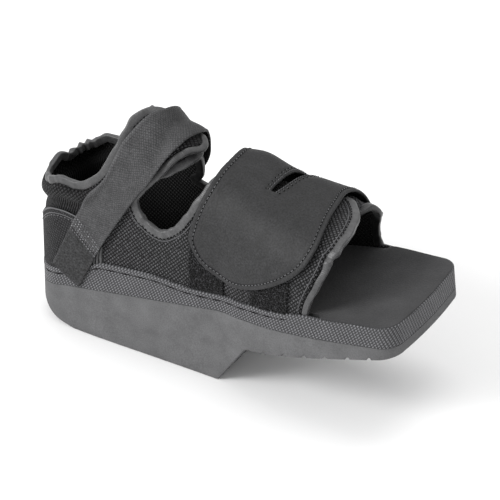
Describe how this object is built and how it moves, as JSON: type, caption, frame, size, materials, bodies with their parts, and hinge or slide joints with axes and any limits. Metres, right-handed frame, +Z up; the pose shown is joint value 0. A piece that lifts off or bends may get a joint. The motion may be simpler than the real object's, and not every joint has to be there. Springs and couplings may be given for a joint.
{
  "type": "post operative shoe",
  "caption": "Open-toed post operative shoe: high heel wedge sole, padded mesh upper with ankle wings, slotted instep flap and ankle strap.",
  "frame": {"origin": "on the floor, on the flat tread under the heel, in the shoe's middle plane, 48 mm ahead of the back of the heel", "axes": "+X to the toe, +Y to the side where the instep flap is sewn on, +Z up"},
  "size_m": [0.29, 0.1026, 0.1724],
  "materials": {
    "foam": "matte",
    "board": "matte",
    "foot_bed": "matte",
    "webbing": "matte",
    "spacer_mesh": "matte",
    "satin_tape": "satin",
    "laminate": "matte",
    "loop_pile": "matte"
  },
  "bodies": {
    "root": {"outsole": "foam", "midsole": "board", "insole": "foot_bed", "foxing_strip": "webbing", "upper": "spacer_mesh", "collar_tape": "satin_tape", "vamp_tape_near": "satin_tape", "vamp_tape_far": "satin_tape", "heel_counter": "laminate", "loop_patch_rear": "loop_pile", "loop_patch_front": "loop_pile", "instep_flap": "laminate", "strap_foot_near": "laminate", "ankle_strap": "webbing"}
  },
  "joints": []
}
